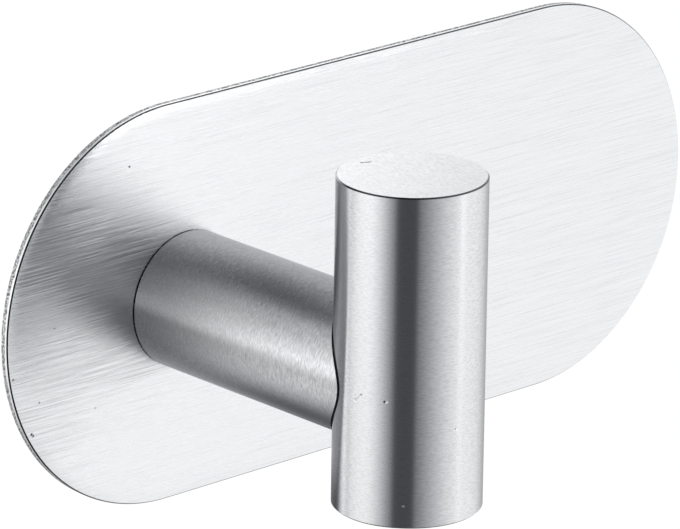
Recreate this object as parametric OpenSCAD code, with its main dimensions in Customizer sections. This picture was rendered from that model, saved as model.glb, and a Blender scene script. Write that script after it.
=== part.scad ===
// Adhesive wall hook in brushed stainless steel.
// A thin back plate with full round ends carries a round post, and the post's
// saddle-shaped front end carries an upright round peg. One long countersunk
// screw goes in from the back and clamps plate, post and peg together, and a
// foam tape pad holds the plate to the wall.
// Units are millimetres. The wall is the plane y = 0 and the hook stands out
// towards -Y, with +Z up. The origin is on the wall behind the plate's middle.

/* [Back plate] */
// Length of the back plate
plate_w = 90; // [76:1:120]
// Height of the back plate, which is also the diameter of its round ends
plate_h = 40; // [30:1:52]
// Thickness of the plate's sheet
plate_t = 1; // [0.8:0.1:1.6]
// Chamfer on the rim of the plate's front face
plate_front_break = 0.15; // [0.05:0.05:0.3]
// Rounding on the rim of the plate's back face
plate_back_break = 0.08; // [0.04:0.02:0.3]

/* [Post] */
// Distance from the plate's middle to the post's axis, towards the left end
post_offset = 22.5; // [0:0.5:26]
// Diameter of the post
post_d = 13.6; // [11:0.1:17]
// Distance from the plate's front face to the peg's axis
post_reach = 31.1; // [24:0.1:45]
// Width and depth of the step round the rims of the post's two ends
post_step = 0.12; // [0.04:0.02:0.3]

/* [Peg] */
// Diameter of the upright peg
peg_d = 14.2; // [12:0.1:18]
// Height of the peg's top above the post's axis
peg_rise = 20.2; // [14:0.1:30]
// Depth of the peg's foot below the post's axis
peg_drop = 12; // [9:0.1:24]
// Chamfer on the rims of the peg's two ends
peg_break = 0.14; // [0.06:0.02:0.6]

/* [Clamp screw] */
// Outer diameter of the screw's thread
screw_d = 5; // [4:0.5:5.5]
// Pitch of the screw's thread
screw_pitch = 0.8; // [0.7:0.05:1]
// Length of thread that the screw carries
screw_thread_len = 22; // [14:1:24]
// Length of thread that bites in the peg
screw_bite = 9.6; // [6:0.2:10]
// Diameter of the countersunk head
screw_head_d = 9.4; // [8:0.1:10]
// Height of the straight rim of the head
screw_head_rim = 0.2; // [0.1:0.05:0.4]
// Width across the flats of the hexagon socket
socket_flats = 3; // [2:0.5:3]
// Depth of the hexagon socket
socket_depth = 1.9; // [1.2:0.1:2.2]

/* [Adhesive pad] */
// Thickness of the foam tape
pad_t = 0.8; // [0.5:0.1:2]
// Distance from the plate's rim to the pad's rim
pad_inset = 1; // [0.5:0.1:3]

/* [Fits] */
// Gap between the saddle and the peg
saddle_gap = 0.02; // [0:0.01:0.1]
// Radial gap between the screw and the bore of the post
bore_gap = 0.25; // [0.15:0.05:0.5]
// Gap between the screw's head and its seat in the plate
seat_gap = 0.03; // [0:0.01:0.1]
// Radial gap between the head and the countersink in the post's rear end
head_gap = 0.3; // [0.2:0.05:0.5]
// Distance that the head lies below the plate's back face
head_sink = 0.05; // [0:0.05:0.2]
// Radial gap between the screw's thread and the peg's thread
thread_gap = 0.06; // [0.02:0.02:0.1]
// Depth of full thread in the peg past the screw's tip
thread_spare = 1; // [0.4:0.2:1.4]

/* [Hidden] */

// Overrun of every cut past the face that it leaves by
cut = 1;
// Number of sides that the round shapes are previewed with
$fn = 96;

// Depth of a thread's groove as a share of its pitch
groove_depth_share = 0.6134;
// Widths of a thread's crest and root as shares of its pitch
crest_width_share = 0.125;
root_width_share = 0.25;
// Chamfer on the screw's tip, as a share of the groove's depth
tip_break_share = 1;
// Height of a drill point as a share of its radius, for a 118 degree drill
drill_point_share = 0.6009;
// Corner-to-corner size of a hexagon as a share of its width across flats
hexagon_share = 1.1547;

// Places along the hook, as distances from the wall
plate_back = pad_t;
plate_front = plate_back + plate_t;
peg_axis = plate_front + post_reach;
post_x = -post_offset;

// Radii
post_r = post_d / 2;
peg_r = peg_d / 2;
screw_r = screw_d / 2;
head_r = screw_head_d / 2;
bore_r = screw_r + bore_gap;

// Screw: its length runs from the head's flat top to the tip
groove_depth = groove_depth_share * screw_pitch;
root_r = screw_r - groove_depth;
head_cone = head_r - screw_r;
head_top = plate_back + head_sink;
saddle_floor = peg_axis - peg_r;
screw_tip = saddle_floor + screw_bite;
tapped_end = screw_tip + thread_spare;

// Radius of the head's cone where it leaves the plate's front face
head_r_at_front = head_r - max(plate_front - head_top - screw_head_rim, 0);
post_sink_r = max(head_r_at_front + head_gap, bore_r);

// Turns a shape drawn up the Z axis so that it runs out from the wall along
// the post's axis, with z = 0 at the given distance from the wall
module on_post_axis(distance) {
    translate([post_x, -distance, 0])
        rotate([90, 0, 0])
            children();
}

// Flat bar with full round ends, standing on the wall's side at y = -from. Its
// rim is chamfered by back_edge at the back and by front_edge at the front
module obround(length, height, from, thick, back_edge, front_edge) {
    r = height / 2;
    span = length - height;
    half_section = [
        [0, 0],
        [r - back_edge, 0],
        [r, back_edge],
        [r, thick - front_edge],
        [r - front_edge, thick],
        [0, thick]
    ];
    translate([0, -from, 0])
        rotate([90, 0, 0]) {
            for (side = [-1, 1])
                translate([side * span / 2, 0, 0])
                    rotate_extrude()
                        polygon(half_section);
            rotate([90, 0, 90])
                linear_extrude(height = span, center = true)
                    union() {
                        polygon(half_section);
                        mirror([1, 0])
                            polygon(half_section);
                    }
        }
}

// Round bar up the Z axis with a chamfer at each end
module round_bar(r, length, low_edge, high_edge) {
    rotate_extrude()
        polygon([
            [0, 0],
            [r - low_edge, 0],
            [r, low_edge],
            [r, length - high_edge],
            [r - high_edge, length],
            [0, length]
        ]);
}

// Body of a thread up the Z axis, ending at z = 0 with its first full groove a
// pitch below, drawn as a row of ring grooves. Grown adds to every radius
module thread_rings(count, grown) {
    crest = screw_r + grown;
    root = root_r + grown;
    flank = (1 - crest_width_share - root_width_share) / 2 * screw_pitch;
    crest_w = crest_width_share * screw_pitch;
    rings = [
        for (i = [1 : count])
            let (low = -i * screw_pitch)
                each [
                    [crest, low + crest_w + 2 * flank + root_width_share * screw_pitch],
                    [root, low + crest_w + flank + root_width_share * screw_pitch],
                    [root, low + crest_w + flank],
                    [crest, low + crest_w]
                ]
    ];
    rotate_extrude()
        polygon(concat([[0, 0]], rings, [[crest, -count * screw_pitch], [0, -count * screw_pitch]]));
}

// Axis of the peg, at its foot
module at_peg_foot() {
    translate([post_x, -peg_axis, -peg_drop])
        children();
}

// Blanked sheet with full round ends and a countersunk hole for the screw
module back_plate() {
    color("#d9dbdc")
        difference() {
            obround(plate_w, plate_h, plate_back, plate_t, plate_back_break, plate_front_break);
            on_post_axis(0)
                head_seat();
        }
}

// Space that the screw's head and shank need in the plate, from the wall out
module head_seat() {
    seat_r = head_r + seat_gap;
    cone_start = head_top + screw_head_rim;
    rotate_extrude()
        polygon([
            [0, 0],
            [seat_r, 0],
            [seat_r, cone_start],
            [bore_r, cone_start + seat_r - bore_r],
            [bore_r, cone_start + seat_r - bore_r + plate_t],
            [0, cone_start + seat_r - bore_r + plate_t]
        ]);
}

// Round bar from the plate to the peg. The front end is coped to the peg, the
// rear end is countersunk where the screw's head comes through the plate, and
// a thinner core leaves a step round the rims of both ends
module post() {
    color("#b9bcbe")
        difference() {
            union() {
                coped_bar(post_r, plate_front + post_step, peg_r + saddle_gap + post_step);
                coped_bar(post_r - post_step, plate_front, peg_r + saddle_gap);
            }
            on_post_axis(plate_front)
                post_bore();
        }
}

// Round bar from the given distance from the wall to the peg, whose front end
// is cut by an upright cylinder
module coped_bar(r, from, cope_r) {
    difference() {
        on_post_axis(from)
            cylinder(r = r, h = peg_axis - from);
        translate([post_x, -peg_axis, -peg_drop - cut])
            cylinder(r = cope_r, h = peg_drop + peg_rise + 2 * cut);
    }
}

// Bore of the post with the countersink at its rear end
module post_bore() {
    sink_depth = post_sink_r - bore_r;
    rotate_extrude()
        polygon([
            [0, -cut],
            [post_sink_r + cut, -cut],
            [bore_r, sink_depth],
            [bore_r, post_reach + cut],
            [0, post_reach + cut]
        ]);
}

// Upright round bar with chamfered ends and a blind tapped hole in its side
module peg() {
    color("#c9cccd")
        difference() {
            at_peg_foot()
                round_bar(peg_r, peg_drop + peg_rise, peg_break, peg_break);
            on_post_axis(tapped_end)
                tapped_hole();
        }
}

// Tapped hole, drawn back from the end of its full thread at z = 0
module tapped_hole() {
    thread_depth = tapped_end - saddle_floor;
    root = root_r + thread_gap;
    mouth_r = screw_r + thread_gap;
    rotate_extrude()
        polygon([
            [0, -thread_depth - cut],
            [mouth_r, -thread_depth - cut],
            [mouth_r, -thread_depth],
            [root, -thread_depth + mouth_r - root],
            [root, 0],
            [0, drill_point_share * root]
        ]);
    translate([0, 0, -thread_spare])
        thread_rings(ceil((thread_depth - thread_spare) / screw_pitch), thread_gap);
    thread_rings(floor(thread_spare / screw_pitch), thread_gap);
}

// Countersunk screw with a hexagon socket, from its head out to its tip
module clamp_screw() {
    length = screw_tip - head_top;
    head_h = screw_head_rim + head_cone;
    tip_break = tip_break_share * groove_depth;
    rings = floor((screw_thread_len - tip_break) / screw_pitch);
    thread_len = rings * screw_pitch;
    color("#a9abac")
        on_post_axis(head_top)
            difference() {
                union() {
                    rotate_extrude()
                        polygon([
                            [0, 0],
                            [head_r, 0],
                            [head_r, screw_head_rim],
                            [screw_r, head_h],
                            [screw_r, length - thread_len],
                            [root_r, length - thread_len],
                            [root_r, length],
                            [0, length]
                        ]);
                    intersection() {
                        translate([0, 0, length])
                            thread_rings(rings, 0);
                        round_bar(screw_r, length, 0, tip_break);
                    }
                }
                translate([0, 0, -cut])
                    cylinder(d = socket_flats * hexagon_share, h = socket_depth + cut, $fn = 6);
            }
}

// Foam tape pad between the plate and the wall
module adhesive_pad() {
    color("#8f9193")
        obround(plate_w - 2 * pad_inset, plate_h - 2 * pad_inset, 0, pad_t, 0, 0);
}

back_plate();
post();
peg();
clamp_screw();
adhesive_pad();
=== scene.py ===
import math

import bmesh
import bpy
from bpy.props import FloatProperty, FloatVectorProperty, PointerProperty
from mathutils import Matrix, Quaternion, Vector


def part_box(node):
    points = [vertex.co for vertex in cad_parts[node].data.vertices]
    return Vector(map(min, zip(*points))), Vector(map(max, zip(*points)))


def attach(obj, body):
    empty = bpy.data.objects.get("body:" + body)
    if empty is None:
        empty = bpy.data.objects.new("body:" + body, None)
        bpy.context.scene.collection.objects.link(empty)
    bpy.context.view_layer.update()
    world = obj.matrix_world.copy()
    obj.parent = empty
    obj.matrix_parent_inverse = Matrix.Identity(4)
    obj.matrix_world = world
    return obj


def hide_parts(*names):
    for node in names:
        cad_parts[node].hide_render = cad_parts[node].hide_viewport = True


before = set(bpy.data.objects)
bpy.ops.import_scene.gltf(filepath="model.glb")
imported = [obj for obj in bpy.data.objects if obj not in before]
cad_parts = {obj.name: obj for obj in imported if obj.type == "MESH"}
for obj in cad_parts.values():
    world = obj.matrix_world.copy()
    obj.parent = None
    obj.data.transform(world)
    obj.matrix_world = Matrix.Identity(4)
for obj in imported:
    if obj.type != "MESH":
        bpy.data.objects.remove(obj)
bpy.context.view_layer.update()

bl_info = {
    "name": "Adhesive wall hook",
    "version": (1, 0, 0),
    "blender": (4, 5, 0),
    "location": "3D View > Sidebar > Wall hook",
    "description": "Builds a brushed stainless steel wall hook with its adhesive pad",
    "category": "Object",
}

MM = 0.001

# Steps in a full turn, in a flat piece's round end, in a turn of thread and in the tent's arc
ROUND_STEPS = 144
END_STEPS = 96
THREAD_STEPS = 48
TENT_STEPS = 24

# Points nearer than this are one point
MERGE = 0.000001

# Edges that turn by more than this stay crisp
SHARP_ANGLE = math.radians(28)

# Least cosine between a face's normal and an axis for a face that lies flat across it, and for a
# chamfer
FLAT = 0.9
CHAMFER = 0.5

# Depth of a dent whose floor sends back no light
DENT_DEPTH = 0.05 * MM

# The camera's sensor in mm, and the nearest and farthest that it sees in m
SENSOR = 36
NEAREST = 0.01
FARTHEST = 20

PLATE_LOW, PLATE_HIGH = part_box("back_plate")
POST_LOW, POST_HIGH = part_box("post")
PEG_LOW, PEG_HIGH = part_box("peg")
SCREW_LOW, SCREW_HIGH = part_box("clamp_screw")
PAD_LOW, PAD_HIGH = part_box("adhesive_pad")

# The wall side is +Y, so a piece's front is its lowest y
PLATE_FRONT = PLATE_LOW.y
PLATE_BACK = PLATE_HIGH.y
POST_X = (POST_LOW.x + POST_HIGH.x) / 2
POST_Z = (POST_LOW.z + POST_HIGH.z) / 2
POST_R = (POST_HIGH.x - POST_LOW.x) / 2
PEG_Y = (PEG_LOW.y + PEG_HIGH.y) / 2
PEG_R = (PEG_HIGH.x - PEG_LOW.x) / 2
SCREW_HEAD_R = (SCREW_HIGH.x - SCREW_LOW.x) / 2


def linear(code):
    """Linear red, green and blue of an sRGB hex colour."""
    shares = [int(code[i : i + 2], 16) / 255 for i in (1, 3, 5)]
    return [c / 12.92 if c <= 0.04045 else ((c + 0.055) / 1.055) ** 2.4 for c in shares]


def length(name, description, default):
    """A property that holds a length in metres."""
    return FloatProperty(
        name=name, description=description, default=default, unit="LENGTH", precision=5
    )


def angle(name, description, degrees):
    """A property that holds an angle, given in degrees."""
    return FloatProperty(
        name=name, description=description, default=math.radians(degrees), subtype="ANGLE"
    )


def colour(name, description, code):
    """A property that holds a colour, given as sRGB hex."""
    return FloatVectorProperty(
        name=name, description=description, default=linear(code), subtype="COLOR", min=0, max=1
    )


class SteelSettings(bpy.types.PropertyGroup):
    """Colours and grain of the stainless steel pieces."""

    sheet: colour("Sheet colour", "Colour of the brushed sheet", "#DCDDDF")
    bar: colour("Bar colour", "Colour of the turned bar", "#DADBDD")
    # The punch does rub a smooth band; its near-white colour is a painted highlight
    burnished_sheen: colour("Burnished colour", "Colour of the edge where the punch rubbed it", "#F2F3F4")
    torn: colour("Torn colour", "Colour of the edge where the sheet tore", "#A9AAAC")
    # Painted shade: the dark colour of the sheet's front chamfer, a fine dark line round the rim
    rolled: colour("Rolled colour", "Colour of the narrow chamfer that brushing misses", "#6A6C6F")
    # Painted shade: the near-black colour of the narrow steps at the post's seams
    cut: colour("Cut colour", "Colour of narrow steps that the brushing doesn't reach", "#3A3B3D")
    # Painted shade: the dark grey of the peg's rim chamfers
    chamfer: colour("Chamfer colour", "Colour of the turned chamfers on the peg's rims", "#606265")
    screw: colour("Screw colour", "Colour of the rolled screw", "#C9CACC")
    # Real belt lines and grinding marks are 0.02 to 0.04 mm apart. They are drawn coarser, or
    # none would show in a picture of the whole hook
    line_gap: length("Line spacing", "Distance between brushed lines", 0.062 * MM)
    line_run: length("Line length", "Length of a brushed line on the sheet", 8 * MM)
    grain_gap: length("Grain spacing", "Distance between the grinding marks of the bars", 0.1 * MM)
    grain_run: length("Grain length", "Length of a grinding mark on the bars", 0.5 * MM)


class PlateSettings(bpy.types.PropertyGroup):
    """Rim and hole of the back plate."""

    front_break: length("Front break", "Depth of the chamfer's foot below the flat face", 0.205 * MM)
    back_break: length("Back break", "Chamfer on the rim of the back face", 0.08 * MM)
    burnish: length("Burnished band", "Width of the smooth band that the shear leaves", 0.25 * MM)
    roll: length("Die roll", "Width of the strip by the rim that the blanking bends back", 1.2 * MM)
    roll_drop: length("Die roll depth", "Depth of the die roll at the chamfer", 0.085 * MM)
    fracture_step: length("Fracture step", "Depth of the torn band below the smooth one", 0.02 * MM)
    border: length("Border", "Width of the strip between the rim and the flat faces", 0.3 * MM)
    seat: length("Countersink radius", "Radius of the countersink at the back face", 4.73 * MM)
    seat_rim: length("Countersink rim", "Depth of the straight part of the countersink", 0.25 * MM)


class PostSettings(bpy.types.PropertyGroup):
    """Ends and bore of the post."""

    step: length("Step", "Width and depth of the step round the rims of both ends", 0.12 * MM)
    gap: length("Saddle gap", "Gap between the saddle and the peg", 0.02 * MM)
    bore: length("Bore radius", "Radius of the screw's bore", 2.75 * MM)
    sink: length("Countersink radius", "Radius of the countersink at the rear end", 4.25 * MM)


class PegSettings(bpy.types.PropertyGroup):
    """Rims of the peg and its tapped hole."""

    rim_break: length("Rim chamfer", "Chamfer on the rims of the two ends", 0.14 * MM)
    thread_gap: length("Thread gap", "Radial gap between the two threads", 0.06 * MM)
    spare: length("Spare thread", "Full thread past the screw's tip", 1 * MM)
    drill_point: FloatProperty(
        name="Drill point", description="Height of the drill point over its radius", default=0.6009
    )


class ScrewSettings(bpy.types.PropertyGroup):
    """Thread, head and socket of the clamp screw."""

    crest: length("Thread radius", "Outer radius of the thread", 2.5 * MM)
    pitch: length("Pitch", "Distance between two turns of the thread", 0.8 * MM)
    depth: length("Thread depth", "Depth of the thread's groove", 0.4907 * MM)
    threaded: length("Threaded length", "Length of thread up from the tip", 20.8 * MM)
    neck: length("Neck step", "Step down from the thread's root to the neck", 0.05 * MM)
    head_rim: length("Head rim", "Height of the straight rim of the head", 0.2 * MM)
    head_edge: length("Head edge", "Chamfer on the head's top edge", 0.08 * MM)
    flats: length("Socket width", "Width across the flats of the socket", 3 * MM)
    socket: length("Socket depth", "Depth of the socket", 1.9 * MM)
    socket_lead: length("Socket chamfer", "Chamfer on the socket's mouth", 0.12 * MM)


class PadSettings(bpy.types.PropertyGroup):
    """Layers and colours of the foam tape."""

    film: length("Adhesive film", "Thickness of the adhesive on each face", 0.06 * MM)
    pinch: length("Foam recess", "Distance that the cut foam draws in", 0.05 * MM)
    border: length("Border", "Width of the strip between the cut edge and the flat faces", 0.5 * MM)
    cell: length("Foam cell", "Size of the cells that the cut edge opens", 0.16 * MM)
    foam: colour("Foam colour", "Colour of the foam's cut edge", "#6E7073")
    adhesive: colour("Adhesive colour", "Colour of the adhesive faces", "#7F8184")


class StageSettings(bpy.types.PropertyGroup):
    """Camera and light."""

    lens: FloatProperty(
        name="Lens", description="Focal length on a 36 mm sensor", default=356.9, unit="CAMERA"
    )
    azimuth: angle("Azimuth", "Turn of the camera round the hook", -43.03)
    elevation: angle("Elevation", "Height of the camera above the horizon", 18.735)
    roll: angle("Roll", "Turn of the camera round its own axis", 0.835)
    distance: length("Distance", "Distance from the camera to its target", 662.6 * MM)
    target: FloatVectorProperty(
        name="Target",
        description="Point in the middle of the picture",
        default=(-1.5 * MM, -0.8 * MM, -1.47 * MM),
        subtype="TRANSLATION",
        unit="LENGTH",
        precision=5,
    )
    floor_drop: length("Floor", "Distance from the hook down to the floor", 500 * MM)
    floor_half: length("Floor half width", "Half of the floor's width", 6000 * MM)
    floor: colour("Floor colour", "Colour of the pale floor", "#F4F4F4")
    floor_lift: FloatProperty(
        name="Floor lift", description="Light that makes the seen floor white", default=0.12
    )
    tent_radius: length("Tent radius", "Distance from the hook to the tent's cloth", 500 * MM)
    cloth_level: FloatProperty(
        name="Cloth level", description="Light from the unlit cloth", default=0.079
    )
    strip_azimuth: angle("Strip azimuth", "Azimuth of the middle of the dark strip", -46.7)
    strip_half: angle("Strip half width", "Half of the dark strip's width", 12.5)
    strip_edge: angle("Strip edge", "Width of the soft edges of the dark strip", 6)
    strip_top: angle("Strip top", "Rise at which the dark strip starts to fade out", 16)
    strip_fade: angle("Strip fade", "Height over which the dark strip fades out", 12)
    strip_level: FloatProperty(
        name="Strip level", description="Light from the dark strip", default=0.085
    )


# Soft patches of light on the tent's cloth, which are added together: name, azimuth, rise, the
# angles from the middle at which the light starts to fall and is gone, all in degrees, the level
# in the middle, and how many times taller than wide the patch is
TENT_LIGHTS = (
    ("left", -100, 4, 19, 61, 1.24, 0.3),
    ("low_left", -118, -23, 11, 59, 1.05, 0.93),
    ("high_left", -108, 31, 9, 34, 0.98, 0.48),
    ("right_front", 60, -13, 13, 111, 1.15, 1.24),
    ("right_spot", 35, 0, 0, 8, 2.78, 1.14),
    ("right_back", 160, 12, 11, 40, 2.13, 0.92),
    ("left_back", -156, 4, 6, 16, 0.87, 2.96),
)

# Hue of the light where the cloth is dim, which is a little bluer than where it is bright
DIM_HUE = (0.98, 0.99, 1.06, 1)
BRIGHT_HUE = (1, 1, 1, 1)

# Small dents, each x, y, z and a radius in mm, and the share of the tint that colours its floor:
# under 1 it is painted shade in the dent, and over 1 a painted highlight
PLATE_MARKS = (
    (-29.9, -1.8, 14.8, 0.14, 0.12),
    (-39.2, -1.8, 0.7, 0.11, 0.12),
    (-41.1, -1.8, -6.3, 0.11, 0.12),
    (-44.3, -1.78, -3.3, 0.16, 0.12),
    (-42.05, -1.79, -9.3, 0.2, 0.05),
    (-41.85, -1.8, -9.5, 0.16, 0.05),
    (-34.1, -1.8, -8.5, 0.1, 0.4),
)
PEG_MARKS = (
    (-29.59, -33.25, -0.04, 0.18, 0.6),
    (-29.58, -33.48, 0.12, 0.18, 0.7),
    (-29.56, -33.7, 0.32, 0.18, 0.75),
    (-29.53, -33.91, 0.57, 0.16, 0.4),
    (-28.73, -36.3, 0.35, 0.16, 0.1),
    (-28.61, -36.46, 0.35, 0.12, 1.25),
    (-23.22, -39.97, -2.6, 0.18, 0.6),
    (-22.98, -39.98, -2.67, 0.16, 1.3),
    (-27.62, -37.82, -9.75, 0.12, 1.4),
)
PEG_END_MARKS = (
    (-23.72, -27.32, 20.2, 0.17, 0.35),
    (-23.55, -27.4, 20.2, 0.18, 0.2),
    (-23.3, -27.52, 20.2, 0.18, 0.15),
    (-23.09, -27.62, 20.2, 0.18, 0.2),
    (-22.9, -27.7, 20.2, 0.17, 0.35),
)


def add_to_scene(name, data):
    """A new object in the scene that holds the data."""
    obj = bpy.data.objects.new(name, data)
    bpy.context.scene.collection.objects.link(obj)
    return obj


def object_from(name, bm, materials):
    """Turn a bmesh into an object in the scene."""
    mesh = bpy.data.meshes.new(name)
    bm.to_mesh(mesh)
    bm.free()
    for material in materials:
        mesh.materials.append(material)
    return add_to_scene(name, mesh)


def finish_piece(name, bm, materials):
    """Turn a closed bmesh into a smooth shaded object whose creases are sharp."""
    for face in bm.faces:
        face.smooth = True
    piece = object_from(name, bm, materials)
    piece.data.set_sharp_from_angle(angle=SHARP_ANGLE)
    return piece


def place(piece, node):
    """Let a finished piece stand for a node of the frame."""
    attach(piece, "root")
    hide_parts(node)


def chain(bm, points, closed=False):
    """Vertices at the points, joined in a row by edges, as geometry for a sweep."""
    verts = [bm.verts.new(point) for point in points]
    following = verts[1:] + verts[:1] * closed
    edges = [bm.edges.new(pair) for pair in zip(verts, following)]
    return verts + edges


def heal(bm):
    """Merge doubled vertices and point the faces outwards."""
    bmesh.ops.remove_doubles(bm, verts=bm.verts, dist=MERGE)
    bmesh.ops.recalc_face_normals(bm, faces=bm.faces)


def open_rings(bm, y):
    """Edges with one face that lie in the plane at y."""
    return [
        edge
        for edge in bm.edges
        if edge.is_boundary and all(abs(vert.co.y - y) < MERGE for vert in edge.verts)
    ]


def draw_out(bm, edges, move):
    """Extrude edges, move what was drawn, and return its vertices and its far edges."""
    drawn = bmesh.ops.extrude_edge_only(bm, edges=edges)["geom"]
    verts = [item for item in drawn if isinstance(item, bmesh.types.BMVert)]
    bmesh.ops.translate(bm, verts=verts, vec=move)
    edges = [item for item in drawn if isinstance(item, bmesh.types.BMEdge)]
    return verts, [edge for edge in edges if all(vert in verts for vert in edge.verts)]


def sweep_round_ended(bm, low, high, rim):
    """Sweep a rim section round an outline with full round ends.

    The rim is a row of pairs, each an inset from the outline and a y.
    """
    radius = (high.z - low.z) / 2
    run = high.x - low.x - 2 * radius
    middle_z = (high.z + low.z) / 2
    geom = chain(bm, [(run / 2, y, low.z + inset) for inset, y in rim])
    for side in (1, -1):
        swept = bmesh.ops.spin(
            bm,
            geom=geom,
            cent=(side * run / 2, 0, middle_z),
            axis=(0, -1, 0),
            angle=math.pi,
            steps=END_STEPS,
        )
        ends = [item for item in swept["geom_last"] if isinstance(item, bmesh.types.BMEdge)]
        verts, edges = draw_out(bm, ends, (-side * run, 0, 0))
        geom = verts + edges
    heal(bm)


def full_spin(bm, points, centre, axis, closed=False):
    """Sweep a row of points a full turn round an axis and close its seam and poles."""
    bmesh.ops.spin(
        bm,
        geom=chain(bm, points, closed),
        cent=centre,
        axis=axis,
        angle=math.tau,
        steps=ROUND_STEPS,
        use_merge=True,
    )
    heal(bm)


def draw_ring(bm, edges, drop, shrink=1.0):
    """Extrude a ring of edges towards -Y, scale it about the Y axis and return its new edges."""
    verts, edges = draw_out(bm, edges, (0, -drop, 0))
    bmesh.ops.scale(bm, verts=verts, vec=(shrink, 1, shrink))
    return edges


def helical_thread(high, low, crest, root, pitch):
    """Right-hand thread round the Y axis, open and cut square at both heights.

    Its turns are counted from the screw's tip, so the screw's thread and the peg's run together.
    """
    bm = bmesh.new()
    # Radius and share of the pitch of each corner: the crest is an eighth wide and the root a
    # quarter, as in the CAD model
    section = ((crest, 0), (crest, 0.125), (root, 0.4375), (root, 0.6875), (crest, 1))
    # The spin starts at least these turns above the upper height, and ends over a turn below the
    # lower one, so both cuts go through whole turns
    spare = 1.5
    start = SCREW_LOW.y + pitch * (math.ceil((high - SCREW_LOW.y) / pitch) + spare)
    turns = math.ceil((start - low) / pitch) + 1
    bmesh.ops.spin(
        bm,
        geom=chain(bm, [(radius, start - share * pitch, 0) for radius, share in section]),
        cent=(0, 0, 0),
        axis=(0, -1, 0),
        dvec=(0, -pitch / THREAD_STEPS, 0),
        angle=turns * math.tau,
        steps=turns * THREAD_STEPS,
    )
    heal(bm)
    for y, way in ((high, 1), (low, -1)):
        bmesh.ops.bisect_plane(
            bm,
            geom=[*bm.verts, *bm.edges, *bm.faces],
            dist=MERGE,
            plane_co=(0, y, 0),
            plane_no=(0, way, 0),
            clear_outer=True,
        )
    return bm


def turn_to(bm, least, most):
    """Hold every vertex's distance from the Y axis between two limits that depend on its y."""
    for vert in bm.verts:
        radius = math.hypot(vert.co.x, vert.co.z)
        held = max(least(vert.co.y), min(most(vert.co.y), radius))
        vert.co.x *= held / radius
        vert.co.z *= held / radius


def cut_out(piece, cutter):
    """Take a closed object's shape out of a piece, and remove that object."""
    cut = piece.modifiers.new("cut", "BOOLEAN")
    cut.operation = "DIFFERENCE"
    cut.solver = "EXACT"
    cut.object = cutter
    graph = bpy.context.evaluated_depsgraph_get()
    mesh = bpy.data.meshes.new_from_object(piece.evaluated_get(graph))
    piece.modifiers.clear()
    piece.data = mesh
    mesh.set_sharp_from_angle(angle=SHARP_ANGLE)
    bpy.data.objects.remove(cutter)


def add_node(tree, kind, inputs=None, **settings):
    """Add a shader node, set its own settings and fill its inputs with values or other sockets."""
    node = tree.nodes.new(kind)
    for name, value in settings.items():
        setattr(node, name, value)
    for key, value in (inputs or {}).items():
        if isinstance(value, bpy.types.NodeSocket):
            tree.links.new(value, node.inputs[key])
        else:
            node.inputs[key].default_value = value
    return node


def new_material(name):
    """An empty node material and its output node."""
    material = bpy.data.materials.new(name)
    material.use_nodes = True
    material.node_tree.nodes.clear()
    return material, material.node_tree, add_node(material.node_tree, "ShaderNodeOutputMaterial")


def toned(tint, share=1.0):
    """A tint as a node's colour, darkened or lightened by a share."""
    return [*(min(1, share * c) for c in tint), 1]


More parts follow.
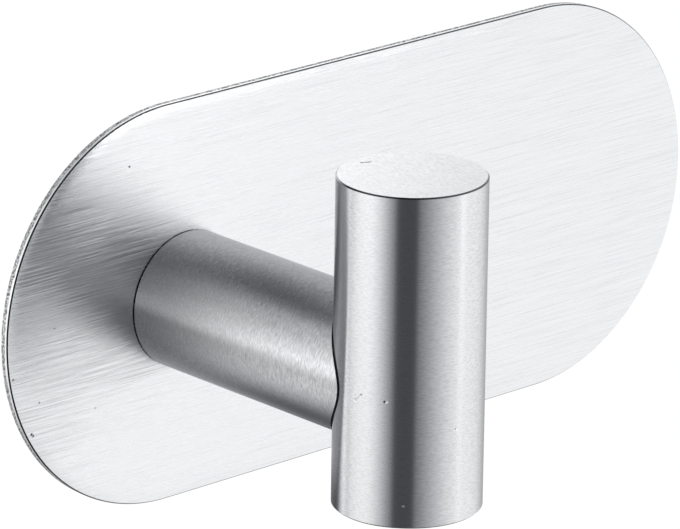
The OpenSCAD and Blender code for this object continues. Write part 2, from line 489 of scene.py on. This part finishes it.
def brushed_steel(
    name, tint, grain, spread, rough, anisotropic, depth, line_darkening, edge=1.0, marks=()
):
    """Stainless steel whose fine lines smear what it mirrors across them.

    The grain is the size in metres of one line along each axis, and spread the axis across the
    lines. Rough is the roughness between the lines and in them, depth how deep they are,
    line_darkening how much darker the colour is in them, and edge the share left where the surface
    turns away. Marks are small dents, given as in PLATE_MARKS.
    """
    material, tree, output = new_material(name)
    place_in = add_node(tree, "ShaderNodeTexCoord").outputs["Object"]
    # A few lines are wider than the rest, as a worn belt leaves them
    wider, wide_share = 3.7, 0.12
    # Noise below the first is level metal, and over the second the bottom of a line
    level, bottom = 0.4, 0.64
    layers = []
    for stretch in (1.0, wider):
        scale = [1 / (size * stretch) for size in grain]
        stretched = add_node(
            tree, "ShaderNodeMapping", {"Vector": place_in, "Scale": scale}
        ).outputs["Vector"]
        layers.append(
            add_node(
                tree,
                "ShaderNodeTexNoise",
                {"Vector": stretched, "Scale": 1.0, "Detail": 2.0, "Roughness": 0.6},
            ).outputs["Fac"]
        )
    lines = add_node(
        tree, "ShaderNodeMix", {"Factor": wide_share, "A": layers[0], "B": layers[1]}
    ).outputs["Result"]
    scratch = add_node(
        tree, "ShaderNodeMapRange", {"Value": lines, "From Min": level, "From Max": bottom}
    ).outputs["Result"]
    shade = add_node(
        tree,
        "ShaderNodeMix",
        {"Factor": scratch, "A": toned(tint), "B": toned(tint, 1 - line_darkening)},
        data_type="RGBA",
    ).outputs["Result"]
    height = lines
    # Share of a dent's radius that its floor takes
    floor_share = 0.4
    for x, y, z, radius, share in marks:
        away = add_node(
            tree,
            "ShaderNodeVectorMath",
            {0: place_in, 1: (x * MM, y * MM, z * MM)},
            operation="DISTANCE",
        ).outputs["Value"]
        dent = add_node(
            tree,
            "ShaderNodeMapRange",
            {
                "Value": away,
                "From Min": floor_share * radius * MM,
                "From Max": radius * MM,
                "To Min": 1.0,
                "To Max": 0.0,
            },
        ).outputs["Result"]
        drop = -DENT_DEPTH * abs(1 - share) / depth
        height = add_node(
            tree, "ShaderNodeMath", {0: dent, 1: drop, 2: height}, operation="MULTIPLY_ADD"
        ).outputs[0]
        # The floor's colour is painted shade where the share is under 1, and a painted highlight
        # over 1
        painted_dent_light = add_node(
            tree, "ShaderNodeMath", {0: dent, 1: 2.0}, operation="POWER"
        ).outputs[0]
        shade = add_node(
            tree,
            "ShaderNodeMix",
            {"Factor": painted_dent_light, "A": shade, "B": toned(tint, share)},
            data_type="RGBA",
        ).outputs["Result"]
    relief = add_node(
        tree, "ShaderNodeBump", {"Height": height, "Strength": 1.0, "Distance": depth}
    ).outputs["Normal"]
    tangent = add_node(
        tree, "ShaderNodeCombineXYZ", {"X": spread[0], "Y": spread[1], "Z": spread[2]}
    ).outputs["Vector"]
    roughness = add_node(
        tree, "ShaderNodeMapRange", {"Value": scratch, "To Min": rough[0], "To Max": rough[1]}
    ).outputs["Result"]
    surface = add_node(
        tree,
        "ShaderNodeBsdfPrincipled",
        {
            "Base Color": shade,
            "Metallic": 1.0,
            "Specular Tint": [edge, edge, edge, 1],
            "Roughness": roughness,
            "Anisotropic": anisotropic,
            "Tangent": tangent,
            "Normal": relief,
        },
    ).outputs["BSDF"]
    tree.links.new(surface, output.inputs["Surface"])
    return material


def cut_steel(name, tint, roughness):
    """Steel left as its tool cut it, mottled by the tool's chatter instead of lined."""
    material, tree, output = new_material(name)
    place_in = add_node(tree, "ShaderNodeTexCoord").outputs["Object"]
    # Size of the chatter's spots, and the share of light left in the dullest ones
    chatter, dulled = 0.4 * MM, 0.85
    mottle = add_node(
        tree, "ShaderNodeTexNoise", {"Vector": place_in, "Scale": 1 / chatter, "Detail": 2.0}
    ).outputs["Fac"]
    rough = add_node(
        tree,
        "ShaderNodeMapRange",
        {"Value": mottle, "To Min": 0.8 * roughness, "To Max": 1.2 * roughness},
    ).outputs["Result"]
    shade = add_node(
        tree,
        "ShaderNodeMix",
        {"Factor": mottle, "A": toned(tint), "B": toned(tint, dulled)},
        data_type="RGBA",
    ).outputs["Result"]
    surface = add_node(
        tree,
        "ShaderNodeBsdfPrincipled",
        {"Base Color": shade, "Metallic": 1.0, "Roughness": rough},
    ).outputs["BSDF"]
    tree.links.new(surface, output.inputs["Surface"])
    return material


def sheared_edge(steel, burnish_end):
    """Edge of blanked sheet: a band that the punch rubbed, near white as a painted highlight, then a
    torn band of grey grit.

    The bands meet in a ragged line whose mean is at y = burnish_end.
    """
    # Length of the ragged line's teeth, how far they reach, and the share of that they blur over
    tooth, swing, blur = 0.5 * MM, 0.35 * MM, 0.1
    # Torn steel's grit is about 0.05 mm, and is drawn coarser so that it shows
    grit_size, grit_depth = 0.17 * MM, 0.08 * MM
    # Noise levels at which grit is darkest and palest, and its light there as shares of the tint's
    low_grit, high_grit = 0.42, 0.6
    darkest, palest = 0.3, 1.8
    material, tree, output = new_material("sheared_304_edge")
    place_in = add_node(tree, "ShaderNodeTexCoord").outputs["Object"]
    ragged = add_node(
        tree, "ShaderNodeTexNoise", {"Vector": place_in, "Scale": 1 / tooth, "Detail": 3.0}
    ).outputs["Fac"]
    depth = add_node(tree, "ShaderNodeSeparateXYZ", {"Vector": place_in}).outputs["Y"]
    depth = add_node(
        tree, "ShaderNodeMath", {0: ragged, 1: swing, 2: depth}, operation="MULTIPLY_ADD"
    ).outputs[0]
    torn = add_node(
        tree,
        "ShaderNodeMapRange",
        {
            "Value": depth,
            "From Min": burnish_end + (0.5 - blur / 2) * swing,
            "From Max": burnish_end + (0.5 + blur / 2) * swing,
        },
    ).outputs["Result"]
    grit = add_node(
        tree, "ShaderNodeTexNoise", {"Vector": place_in, "Scale": 1 / grit_size, "Detail": 1.0}
    ).outputs["Fac"]
    speck = add_node(
        tree, "ShaderNodeMapRange", {"Value": grit, "From Min": low_grit, "From Max": high_grit}
    ).outputs["Result"]
    tear = add_node(
        tree,
        "ShaderNodeMix",
        {"Factor": speck, "A": toned(steel.torn, darkest), "B": toned(steel.torn, palest)},
        data_type="RGBA",
    ).outputs["Result"]
    height = add_node(tree, "ShaderNodeMath", {0: grit, 1: torn}, operation="MULTIPLY").outputs[0]
    relief = add_node(
        tree, "ShaderNodeBump", {"Height": height, "Strength": 1.0, "Distance": grit_depth}
    ).outputs["Normal"]
    shade = add_node(
        tree,
        "ShaderNodeMix",
        {"Factor": torn, "A": toned(steel.burnished_sheen), "B": tear},
        data_type="RGBA",
    ).outputs["Result"]
    rough = add_node(
        tree, "ShaderNodeMapRange", {"Value": torn, "To Min": 0.3, "To Max": 0.5}
    ).outputs["Result"]
    surface = add_node(
        tree,
        "ShaderNodeBsdfPrincipled",
        {"Base Color": shade, "Metallic": 0.6, "Roughness": rough, "Normal": relief},
    ).outputs["BSDF"]
    tree.links.new(surface, output.inputs["Surface"])
    return material


def foam_tape(name, tint, cell, depth, roughness):
    """Acrylic foam tape: cells that a cut opens, or the soft film that lies over them."""
    # Size of the soft clouds in the tape's grey, how much its cells add to them, and the light of
    # the darkest and palest spots as shares of the tint's
    cloud_size, cell_share = 6 * MM, 0.5
    darkest, palest = 0.8, 1.15
    material, tree, output = new_material(name)
    place_in = add_node(tree, "ShaderNodeTexCoord").outputs["Object"]
    cells = add_node(
        tree, "ShaderNodeTexVoronoi", {"Vector": place_in, "Scale": 1 / cell, "Randomness": 1.0}
    ).outputs["Distance"]
    cloud = add_node(
        tree, "ShaderNodeTexNoise", {"Vector": place_in, "Scale": 1 / cloud_size, "Detail": 2.0}
    ).outputs["Fac"]
    mixed = add_node(
        tree, "ShaderNodeMath", {0: cells, 1: cell_share, 2: cloud}, operation="MULTIPLY_ADD"
    ).outputs[0]
    shade = add_node(
        tree,
        "ShaderNodeMix",
        {"Factor": mixed, "A": toned(tint, darkest), "B": toned(tint, palest)},
        data_type="RGBA",
    ).outputs["Result"]
    relief = add_node(
        tree, "ShaderNodeBump", {"Height": cells, "Strength": 1.0, "Distance": depth}
    ).outputs["Normal"]
    surface = add_node(
        tree,
        "ShaderNodeBsdfPrincipled",
        {"Base Color": shade, "Roughness": roughness, "Normal": relief},
    ).outputs["BSDF"]
    tree.links.new(surface, output.inputs["Surface"])
    return material


class OBJECT_OT_back_plate(bpy.types.Operator):
    """Blanked sheet with full round ends and a countersunk hole"""

    bl_idname = "object.wall_hook_back_plate"
    bl_label = "Back plate"

    def execute(self, context):
        size = context.scene.wall_hook_plate
        steel = context.scene.wall_hook_steel
        front, back = PLATE_FRONT, PLATE_BACK
        bm = bmesh.new()
        chamfer = size.front_break - size.roll_drop
        burnish_end = front + size.front_break + size.burnish
        # The die roll's section is a parabola that leaves the flat face without an edge
        roll_rings = 8
        shares = [i / roll_rings for i in range(roll_rings + 1)]
        bend = [
            (chamfer + size.roll * (1 - share), front + size.roll_drop * share**2)
            for share in shares
        ]
        rim = [
            (chamfer + size.roll + size.border, front),
            *bend,
            (0, front + size.front_break),
            (0, burnish_end),
            (size.fracture_step, burnish_end + size.fracture_step),
            (size.fracture_step, back - size.back_break),
            (size.back_break, back),
            (size.back_break + size.border, back),
        ]
        sweep_round_ended(bm, PLATE_LOW, PLATE_HIGH, rim)
        hole = size.seat - (back - front - size.seat_rim)
        full_spin(
            bm,
            [
                (POST_X + hole, front, POST_Z),
                (POST_X + size.seat, back - size.seat_rim, POST_Z),
                (POST_X + size.seat, back, POST_Z),
            ],
            (POST_X, 0, POST_Z),
            (0, 1, 0),
        )
        for y in (front, back):
            bmesh.ops.triangle_fill(bm, use_beauty=True, edges=open_rings(bm, y))
        heal(bm)
        gap, run = steel.line_gap, steel.line_run
        # Sheet brushed along its length: soft bands of light and dark, drawn up and down, under
        # fine straight hairlines
        brushed = brushed_steel(
            "hairline_304_sheet",
            steel.sheet,
            grain=(run, run, gap),
            spread=(0, 0, 1),
            rough=(0.1, 0.34),
            anisotropic=1.0,
            depth=0.0125 * MM,
            line_darkening=0.04,
            marks=PLATE_MARKS,
        )
        # Front chamfer, dark as painted shade: a thin dark line between the face and the bright edge
        rolled = cut_steel("sheared_304_rollover_painted_shade", steel.rolled, roughness=0.15)
        sheared = sheared_edge(steel, burnish_end)
        # Cold rolled sheet as the mill sends it: an even satin grey without lines
        mill = cut_steel("mill_finish_304_back", steel.sheet, roughness=0.38)
        for face in bm.faces:
            middle = face.calc_center_median()
            in_hole = math.hypot(middle.x - POST_X, middle.z - POST_Z) < size.seat
            if face.normal.y < -FLAT:
                face.material_index = 0
            elif face.normal.y > CHAMFER or in_hole:
                face.material_index = 3
            else:
                face.material_index = 1 if face.normal.y < -CHAMFER else 2
        piece = finish_piece("hook_back_plate", bm, [brushed, rolled, sheared, mill])
        place(piece, "back_plate")
        return {"FINISHED"}


class OBJECT_OT_post(bpy.types.Operator):
    """Round bar whose front end is coped to the peg"""

    bl_idname = "object.wall_hook_post"
    bl_label = "Post"

    def execute(self, context):
        size = context.scene.wall_hook_post
        steel = context.scene.wall_hook_steel
        inner = POST_R - size.step
        # The saddle has rings between its rim and the bore, so that it follows the peg
        face_rings = 7
        shares = [i / face_rings for i in range(face_rings + 1)]
        saddle = [POST_R] + [inner + (size.bore - inner) * share for share in shares]
        outline = [
            (size.sink, PLATE_FRONT),
            (inner, PLATE_FRONT),
            (inner, PLATE_FRONT - size.step),
            (POST_R, PLATE_FRONT - size.step),
            *[(radius, PEG_Y) for radius in saddle],
            (size.bore, PLATE_FRONT - (size.sink - size.bore)),
        ]
        bm = bmesh.new()
        full_spin(
            bm,
            [(POST_X + radius, y, POST_Z) for radius, y in outline],
            (POST_X, 0, POST_Z),
            (0, 1, 0),
            closed=True,
        )
        for vert in bm.verts:
            if abs(vert.co.y - PEG_Y) < MERGE:
                across = vert.co.x - POST_X
                radius = math.hypot(across, vert.co.z - POST_Z)
                cope = PEG_R + size.gap + size.step * (radius > inner + MERGE)
                vert.co.y = PEG_Y + math.sqrt(cope**2 - across**2)
        bmesh.ops.recalc_face_normals(bm, faces=bm.faces)
        gap, run = steel.grain_gap, steel.grain_run
        # Bar ground on a belt while it turns: satin, with highlights drawn out along the bar and
        # a short broken grain round it
        ground = brushed_steel(
            "linished_304_post",
            steel.bar,
            grain=(run, gap, run),
            spread=(0, 1, 0),
            rough=(0.27, 0.36),
            anisotropic=1.0,
            depth=0.004 * MM,
            line_darkening=0.22,
            edge=0.6,
        )
        # Narrow steps at both ends, near black as painted shade, so each seam is a fine dark line
        seam_shade_steel = cut_steel("painted_shade_304_step", steel.cut, roughness=0.5)
        # Steel as a drill and a lathe tool leave it: half bright, with faint chatter
        bored = cut_steel("bored_304", steel.bar, roughness=0.3)
        # Faces are told apart by their distance from the axis
        skin, steps = POST_R - size.step / 4, inner - size.step / 4
        for face in bm.faces:
            middle = face.calc_center_median()
            radius = math.hypot(middle.x - POST_X, middle.z - POST_Z)
            face.material_index = 0 if radius > skin else 1 if radius > steps else 2
        piece = finish_piece("hook_post", bm, [ground, seam_shade_steel, bored])
        place(piece, "post")
        return {"FINISHED"}


class OBJECT_OT_peg(bpy.types.Operator):
    """Upright round bar with chamfered ends"""

    bl_idname = "object.wall_hook_peg"
    bl_label = "Peg"

    def execute(self, context):
        size = context.scene.wall_hook_peg
        steel = context.scene.wall_hook_steel
        screw = context.scene.wall_hook_screw
        foot, top = PEG_LOW.z, PEG_HIGH.z
        # The side has a ring above and below the hole, which keeps long thin faces out of the cut,
        # and each end has a ring inside its chamfer, which keeps the shading of the end flat
        band = 2 * screw.crest
        outline = [
            (0, top),
            (PEG_R - 2 * size.rim_break, top),
            (PEG_R - size.rim_break, top),
            (PEG_R, top - size.rim_break),
            (PEG_R, POST_Z + band),
            (PEG_R, POST_Z - band),
            (PEG_R, foot + size.rim_break),
            (PEG_R - size.rim_break, foot),
            (PEG_R - 2 * size.rim_break, foot),
            (0, foot),
        ]
        bm = bmesh.new()
        full_spin(
            bm,
            [(POST_X + radius, PEG_Y, z) for radius, z in outline],
            (POST_X, PEG_Y, 0),
            (0, 0, 1),
        )
        gap, run = steel.grain_gap, steel.grain_run
        # Ground as the post is but finer: crisper upright bands of light and dark
        ground = brushed_steel(
            "linished_304_peg",
            steel.bar,
            grain=(run, run, gap),
            spread=(0, 0, 1),
            rough=(0.2, 0.27),
            anisotropic=0.9,
            depth=0.003 * MM,
            line_darkening=0.15,
            edge=0.6,
            marks=PEG_MARKS,
        )
        # Ends linished straight: pale and even, with hardly any grain
        faced = brushed_steel(
            "linished_304_peg_end",
            steel.bar,
            grain=(gap, run, run),
            spread=(1, 0, 0),
            rough=(0.2, 0.3),
            anisotropic=0.7,
            depth=0.001 * MM,
            line_darkening=0.03,
            marks=PEG_END_MARKS,
        )
        # Chamfers turned on a lathe, dark grey as painted shade: a thin grey line round each end
        chamfered = cut_steel("turned_304_chamfer_painted_shade", steel.chamfer, roughness=0.16)
        # Thread cut by a tap: half bright, with faint chatter
        tapped = cut_steel("tapped_304", steel.bar, roughness=0.3)
        for face in bm.faces:
            upright = abs(face.normal.z)
            face.material_index = 1 if upright > FLAT else 2 if upright > CHAMFER else 0
        piece = finish_piece("hook_peg", bm, [ground, faced, chamfered, tapped])
        cut_out(piece, self.tap(size, screw))
        place(piece, "peg")
        return {"FINISHED"}

    def tap(self, size, screw):
        """The space of the tapped hole, as a closed object."""
        mouth, end = PEG_HIGH.y, SCREW_LOW.y - size.spare
        crest = screw.crest + size.thread_gap
        root = crest - screw.depth
        bm = helical_thread(mouth, end, crest, root, screw.pitch)
        turn_to(
            bm,
            least=lambda y: min(crest, root + y - (mouth - screw.depth)),
            most=lambda y: root + y - end,
        )
        over = draw_ring(bm, open_rings(bm, mouth), -screw.crest)
        bmesh.ops.triangle_fill(bm, use_beauty=True, edges=over)
        draw_ring(bm, open_rings(bm, end), size.drill_point * root, 0.0)
        bmesh.ops.translate(bm, verts=bm.verts, vec=(POST_X, 0, POST_Z))
        heal(bm)
        # What this leaves in the peg takes the peg's fourth material
        for face in bm.faces:
            face.material_index = 3
        return finish_piece("tap", bm, [])


class OBJECT_OT_clamp_screw(bpy.types.Operator):
    """Long countersunk screw with a hexagon socket"""

    bl_idname = "object.wall_hook_clamp_screw"
    bl_label = "Clamp screw"

    def execute(self, context):
        size = context.scene.wall_hook_screw
        steel = context.scene.wall_hook_steel
        tip, top = SCREW_LOW.y, SCREW_HIGH.y
        start = tip + size.threaded
        root = size.crest - size.depth
        neck = root - size.neck
        bm = helical_thread(start, tip, size.crest, root, size.pitch)
        turn_to(bm, least=lambda y: 0, most=lambda y: root + min(start - y, y - tip))
        cone_top = top - size.head_rim
        outline = [
            (SCREW_HEAD_R - size.head_edge, top),
            (SCREW_HEAD_R, top - size.head_edge),
            (SCREW_HEAD_R, cone_top),
            (size.crest, cone_top - (SCREW_HEAD_R - size.crest)),
            (size.crest, start + size.crest - neck),
            (neck, start),
        ]
        full_spin(bm, [(radius, y, 0) for radius, y in outline], (0, 0, 0), (0, 1, 0))
        corner = size.flats / math.sqrt(3)
        mouth = corner + size.socket_lead
        # The hexagon lies in the head, with two of its flats level
        laid = Matrix.Rotation(math.radians(90), 4, "X") @ Matrix.Rotation(math.radians(30), 4, "Z")
        bmesh.ops.create_circle(
            bm, segments=6, radius=mouth, matrix=Matrix.Translation((0, top, 0)) @ laid
        )
        edges = [edge for edge in bm.edges if edge.is_wire]
        edges = draw_ring(bm, edges, size.socket_lead, corner / mouth)
        edges = draw_ring(bm, edges, size.socket - size.socket_lead)
        bmesh.ops.triangle_fill(bm, use_beauty=True, edges=edges)
        for y in (top, start, tip):
            bmesh.ops.triangle_fill(bm, use_beauty=True, edges=open_rings(bm, y))
        bmesh.ops.translate(bm, verts=bm.verts, vec=(POST_X, 0, POST_Z))
        heal(bm)
        # Cold formed screw with a rolled thread: smooth, and a little darker than the sheet
        rolled = cut_steel("rolled_a2_screw", steel.screw, roughness=0.24)
        piece = finish_piece("hook_clamp_screw", bm, [rolled])
        place(piece, "clamp_screw")
        return {"FINISHED"}


class OBJECT_OT_adhesive_pad(bpy.types.Operator):
    """Die-cut foam tape with an adhesive film on each face"""

    bl_idname = "object.wall_hook_adhesive_pad"
    bl_label = "Adhesive pad"

    def execute(self, context):
        size = context.scene.wall_hook_pad
        front, back = PAD_LOW.y, PAD_HIGH.y
        rim = [
            (size.border, front),
            (0, front),
            (0, front + size.film),
            (size.pinch, front + size.film + size.pinch),
            (size.pinch, back - size.film - size.pinch),
            (0, back - size.film),
            (0, back),
            (size.border, back),
        ]
        bm = bmesh.new()
        sweep_round_ended(bm, PAD_LOW, PAD_HIGH, rim)
        for y in (front, back):
            bmesh.ops.triangle_fill(bm, use_beauty=True, edges=open_rings(bm, y))
        heal(bm)
        # Soft acrylic film: a dull sheen over shallow swells, since it hides the foam's cells
        film = foam_tape(
            "acrylic_adhesive_film",
            size.adhesive,
            cell=8 * size.cell,
            depth=0.02 * MM,
            roughness=0.45,
        )
        # Foam cut by a die: matt and grainy, with its cells drawn a little larger than real ones
        foam = foam_tape(
            "die_cut_acrylic_foam",
            size.foam,
            cell=size.cell,
            depth=0.06 * MM,
            roughness=0.75,
        )
        for face in bm.faces:
            face.material_index = int(abs(face.normal.y) < FLAT)
        piece = finish_piece("hook_adhesive_pad", bm, [film, foam])
        place(piece, "adhesive_pad")
        return {"FINISHED"}


def direction(azimuth, rise):
    """Unit vector from the hook towards an azimuth and a rise in radians."""
    flat = math.cos(rise)
    return Vector((math.sin(azimuth) * flat, -math.cos(azimuth) * flat, math.sin(rise)))


def graded_cloth(stage):
    """Tent cloth that glows in soft patches of light, with one dark upright strip."""
    # Light cloth seen in brushed steel: its patches give the pale bands, its strip the dark one
    material, tree, output = new_material("graded_tent_cloth")
    seen_at = add_node(tree, "ShaderNodeTexCoord").outputs["Object"]
    way = add_node(
        tree, "ShaderNodeVectorMath", {0: seen_at}, operation="NORMALIZE"
    ).outputs["Vector"]
    level = stage.cloth_level
    for name, azimuth, rise, full, gone, bright, height in TENT_LIGHTS:
        pressed = Vector((1, 1, 1 / height))
        middle = (direction(math.radians(azimuth), math.radians(rise)) * pressed).normalized()
        flat = add_node(
            tree, "ShaderNodeVectorMath", {0: way, 1: pressed}, operation="MULTIPLY"
        ).outputs["Vector"]
        flat = add_node(
            tree, "ShaderNodeVectorMath", {0: flat}, operation="NORMALIZE"
        ).outputs["Vector"]
        near = add_node(
            tree, "ShaderNodeVectorMath", {0: flat, 1: middle}, operation="DOT_PRODUCT"
        ).outputs["Value"]
        off = add_node(tree, "ShaderNodeMath", {0: near}, operation="ARCCOSINE").outputs[0]
        glow = add_node(
            tree,
            "ShaderNodeMapRange",
            {
                "Value": off,
                "From Min": math.radians(full),
                "From Max": math.radians(gone),
                "To Min": bright,
                "To Max": 0.0,
            },
            label=name,
            interpolation_type="SMOOTHSTEP",
        ).outputs["Result"]
        level = add_node(tree, "ShaderNodeMath", {0: level, 1: glow}).outputs[0]
    parts = add_node(tree, "ShaderNodeSeparateXYZ", {"Vector": way}).outputs
    front = add_node(
        tree, "ShaderNodeMath", {0: parts["Y"], 1: -1.0}, operation="MULTIPLY"
    ).outputs[0]
    turn = add_node(
        tree, "ShaderNodeMath", {0: parts["X"], 1: front}, operation="ARCTAN2"
    ).outputs[0]
    aside = add_node(
        tree, "ShaderNodeMath", {0: turn, 1: stage.strip_azimuth}, operation="SUBTRACT"
    ).outputs[0]
    aside = add_node(tree, "ShaderNodeMath", {0: aside}, operation="ABSOLUTE").outputs[0]
    beside = add_node(
        tree,
        "ShaderNodeMapRange",
        {
            "Value": aside,
            "From Min": stage.strip_half,
            "From Max": stage.strip_half + stage.strip_edge,
        },
    ).outputs["Result"]
    rise = add_node(tree, "ShaderNodeMath", {0: parts["Z"]}, operation="ARCSINE").outputs[0]
    above = add_node(
        tree,
        "ShaderNodeMapRange",
        {
            "Value": rise,
            "From Min": stage.strip_top,
            "From Max": stage.strip_top + stage.strip_fade,
        },
    ).outputs["Result"]
    clear = add_node(tree, "ShaderNodeMath", {0: beside, 1: above}, operation="MAXIMUM").outputs[0]
    strength = add_node(
        tree, "ShaderNodeMapRange", {"Value": clear, "To Min": stage.strip_level, "To Max": level}
    ).outputs["Result"]
    hue = add_node(
        tree,
        "ShaderNodeMix",
        {"Factor": strength, "A": DIM_HUE, "B": BRIGHT_HUE},
        data_type="RGBA",
    ).outputs["Result"]
    light = add_node(
        tree, "ShaderNodeEmission", {"Color": hue, "Strength": strength}
    ).outputs["Emission"]
    tree.links.new(light, output.inputs["Surface"])
    return material


def make_tent(stage):
    """A closed round tent about the hook, which only its reflections see."""
    bm = bmesh.new()
    rises = [math.pi * (i / TENT_STEPS - 0.5) for i in range(TENT_STEPS + 1)]
    full_spin(
        bm,
        [direction(0, rise) * stage.tent_radius for rise in rises],
        (0, 0, 0),
        (0, 0, 1),
    )
    tent = object_from("tent", bm, [graded_cloth(stage)])
    tent.location = (POST_X, PLATE_FRONT, POST_Z)
    tent.visible_camera = False
    tent.visible_diffuse = False
    tent.visible_shadow = False


def pale_floor(stage):
    """Matt floor that shows as white where it is seen, and keeps the hook's shadow."""
    material, tree, output = new_material("pale_floor")
    ray = add_node(tree, "ShaderNodeLightPath").outputs
    seen = add_node(
        tree,
        "ShaderNodeMath",
        {0: ray["Is Camera Ray"], 1: ray["Is Glossy Ray"]},
        operation="MAXIMUM",
    ).outputs[0]
    seen = add_node(
        tree, "ShaderNodeMath", {0: seen, 1: ray["Is Transmission Ray"]}, operation="MAXIMUM"
    ).outputs[0]
    lift = add_node(
        tree, "ShaderNodeMath", {0: seen, 1: stage.floor_lift}, operation="MULTIPLY"
    ).outputs[0]
    matt = add_node(tree, "ShaderNodeBsdfDiffuse", {"Color": toned(stage.floor)}).outputs[0]
    light = add_node(tree, "ShaderNodeEmission", {"Strength": lift}).outputs[0]
    both = add_node(tree, "ShaderNodeAddShader", {0: matt, 1: light}).outputs[0]
    tree.links.new(both, output.inputs["Surface"])
    return material


def make_floor(stage):
    """Wide pale floor some way under the hook."""
    bm = bmesh.new()
    bmesh.ops.create_grid(bm, x_segments=1, y_segments=1, size=stage.floor_half)
    bmesh.ops.translate(bm, verts=bm.verts, vec=(0, 0, PLATE_LOW.z - stage.floor_drop))
    object_from("floor", bm, [pale_floor(stage)])


def make_camera(stage):
    """Camera that looks at its target from the stage's azimuth and elevation."""
    lens = bpy.data.cameras.new("camera")
    lens.lens = stage.lens
    lens.sensor_width = SENSOR
    lens.clip_start = NEAREST
    lens.clip_end = FARTHEST
    camera = add_to_scene("camera", lens)
    back = direction(stage.azimuth, stage.elevation)
    camera.location = Vector(stage.target) + back * stage.distance
    camera.rotation_mode = "QUATERNION"
    level = (-back).to_track_quat("-Z", "Y")
    camera.rotation_quaternion = level @ Quaternion((0, 0, 1), stage.roll)
    return camera


def white_world():
    """White light from all round, which is also the white background."""
    world = bpy.data.worlds.new("white_tent")
    world.use_nodes = True
    sky = world.node_tree.nodes["Background"].inputs
    sky["Color"].default_value = (1, 1, 1, 1)
    sky["Strength"].default_value = 1.0
    return world


class SCENE_OT_stage(bpy.types.Operator):
    """Camera, white surroundings, pale floor and the tent that the steel mirrors"""

    bl_idname = "scene.wall_hook_stage"
    bl_label = "Stage"

    def execute(self, context):
        scene = context.scene
        stage = scene.wall_hook_stage
        scene.view_settings.view_transform = "Standard"
        scene.camera = make_camera(stage)
        scene.world = white_world()
        make_floor(stage)
        make_tent(stage)
        return {"FINISHED"}


class VIEW3D_PT_wall_hook(bpy.types.Panel):
    """Settings and build buttons of the wall hook"""

    bl_idname = "VIEW3D_PT_wall_hook"
    bl_label = "Wall hook"
    bl_space_type = "VIEW_3D"
    bl_region_type = "UI"
    bl_category = "Wall hook"

    def draw(self, context):
        for name, group in SETTINGS.items():
            box = self.layout.box()
            box.label(text=group.__doc__)
            for key in group.__annotations__:
                box.prop(getattr(context.scene, name), key)
        for operator in OPERATORS:
            self.layout.operator(operator.bl_idname)


SETTINGS = {
    "wall_hook_steel": SteelSettings,
    "wall_hook_plate": PlateSettings,
    "wall_hook_post": PostSettings,
    "wall_hook_peg": PegSettings,
    "wall_hook_screw": ScrewSettings,
    "wall_hook_pad": PadSettings,
    "wall_hook_stage": StageSettings,
}
OPERATORS = (
    OBJECT_OT_back_plate,
    OBJECT_OT_post,
    OBJECT_OT_peg,
    OBJECT_OT_clamp_screw,
    OBJECT_OT_adhesive_pad,
    SCENE_OT_stage,
)


def register():
    """Register the settings, the operators and the panel."""
    for group in SETTINGS.values():
        bpy.utils.register_class(group)
    for name, group in SETTINGS.items():
        setattr(bpy.types.Scene, name, PointerProperty(type=group))
    for kind in (*OPERATORS, VIEW3D_PT_wall_hook):
        bpy.utils.register_class(kind)


def unregister():
    """Take back what register did."""
    for kind in (VIEW3D_PT_wall_hook, *reversed(OPERATORS)):
        bpy.utils.unregister_class(kind)
    for name in SETTINGS:
        delattr(bpy.types.Scene, name)
    for group in reversed(SETTINGS.values()):
        bpy.utils.unregister_class(group)


def main():
    register()
    bpy.ops.object.wall_hook_back_plate()
    bpy.ops.object.wall_hook_post()
    bpy.ops.object.wall_hook_peg()
    bpy.ops.object.wall_hook_clamp_screw()
    bpy.ops.object.wall_hook_adhesive_pad()
    bpy.ops.scene.wall_hook_stage()


if __name__ == "__main__":
    main()
